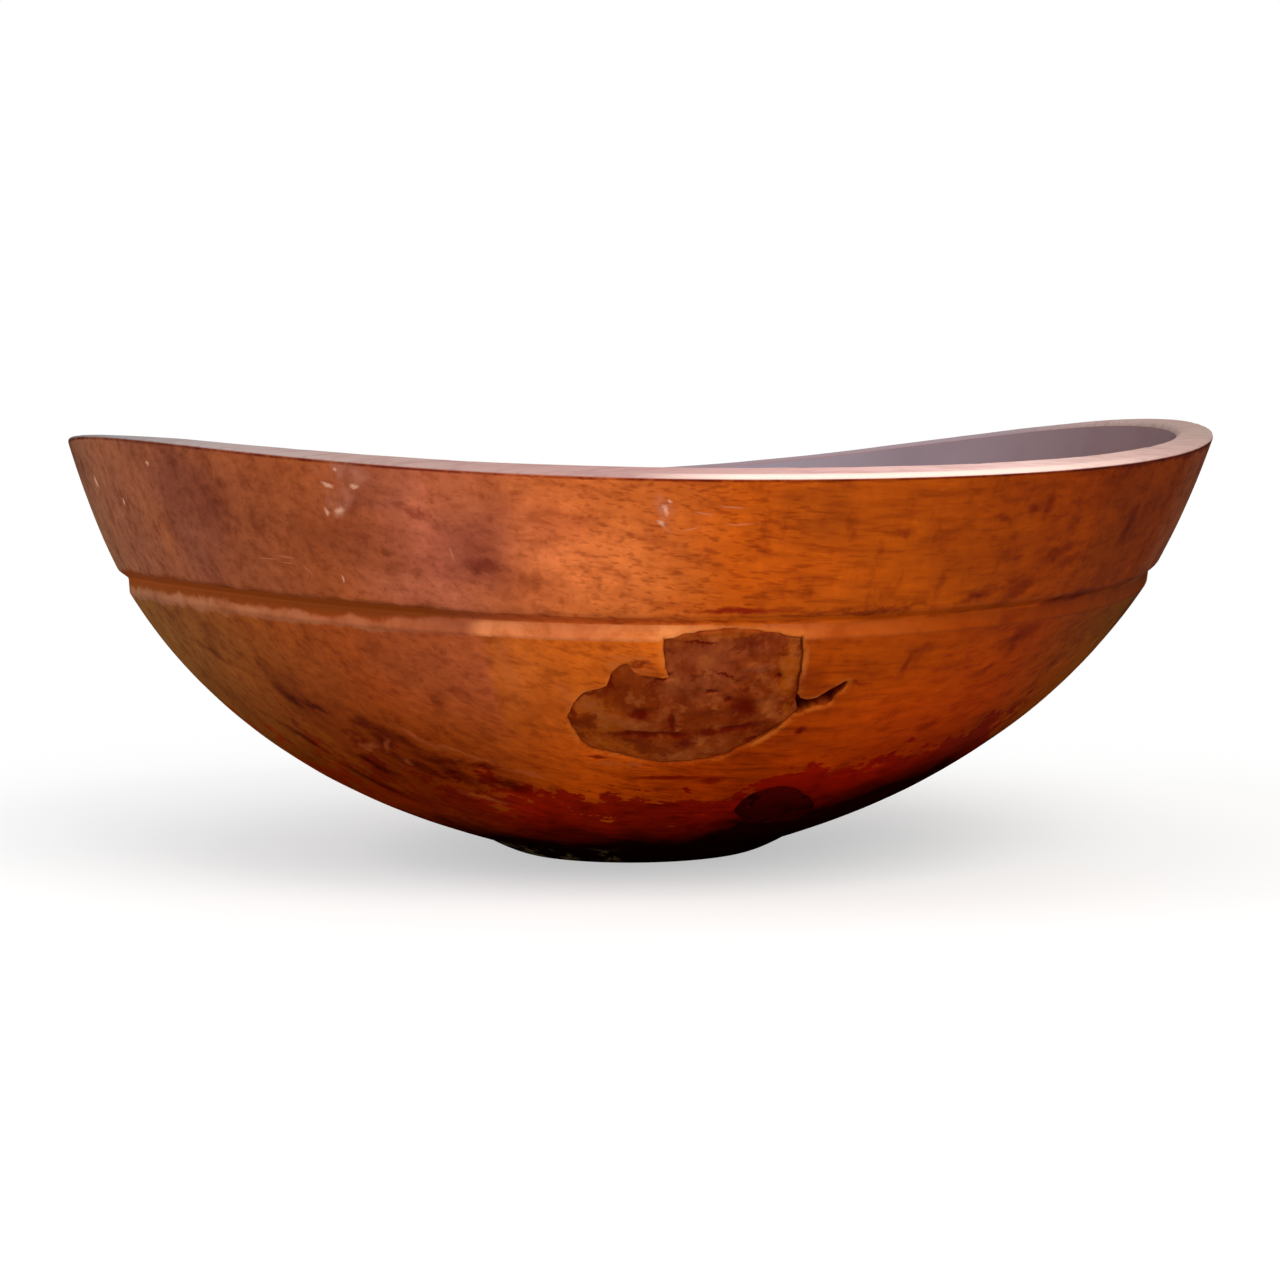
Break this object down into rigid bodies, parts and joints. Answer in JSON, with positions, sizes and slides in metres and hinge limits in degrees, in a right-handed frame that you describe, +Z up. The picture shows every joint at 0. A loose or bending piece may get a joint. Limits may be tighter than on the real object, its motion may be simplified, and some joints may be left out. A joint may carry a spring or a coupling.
{
  "type": "wooden salad bowl",
  "caption": "Large one-piece turned wooden bowl, dried to an oval with a saddle-shaped rim, a plain collar over a stepped fillet, a small low foot and dead knots in its wall.",
  "frame": {"origin": "on the surface that the bowl stands on, under the middle of the rim", "axes": "+Z up out of the mouth, X along the grain, which is the rim's longer and higher way, with the highest end at +X, and Y across the grain; the large knot faces -Y"},
  "size_m": [0.4314, 0.3926, 0.1662],
  "materials": {
    "bowl_wood": "old oil and wax over a red-brown stain, satin, darker towards the foot",
    "knot_wood": "dark dead knot, lumpy and dull"
  },
  "bodies": {
    "root": {"turned_bowl": "bowl_wood", "large_knot": "knot_wood", "small_knot": "knot_wood"}
  },
  "joints": []
}
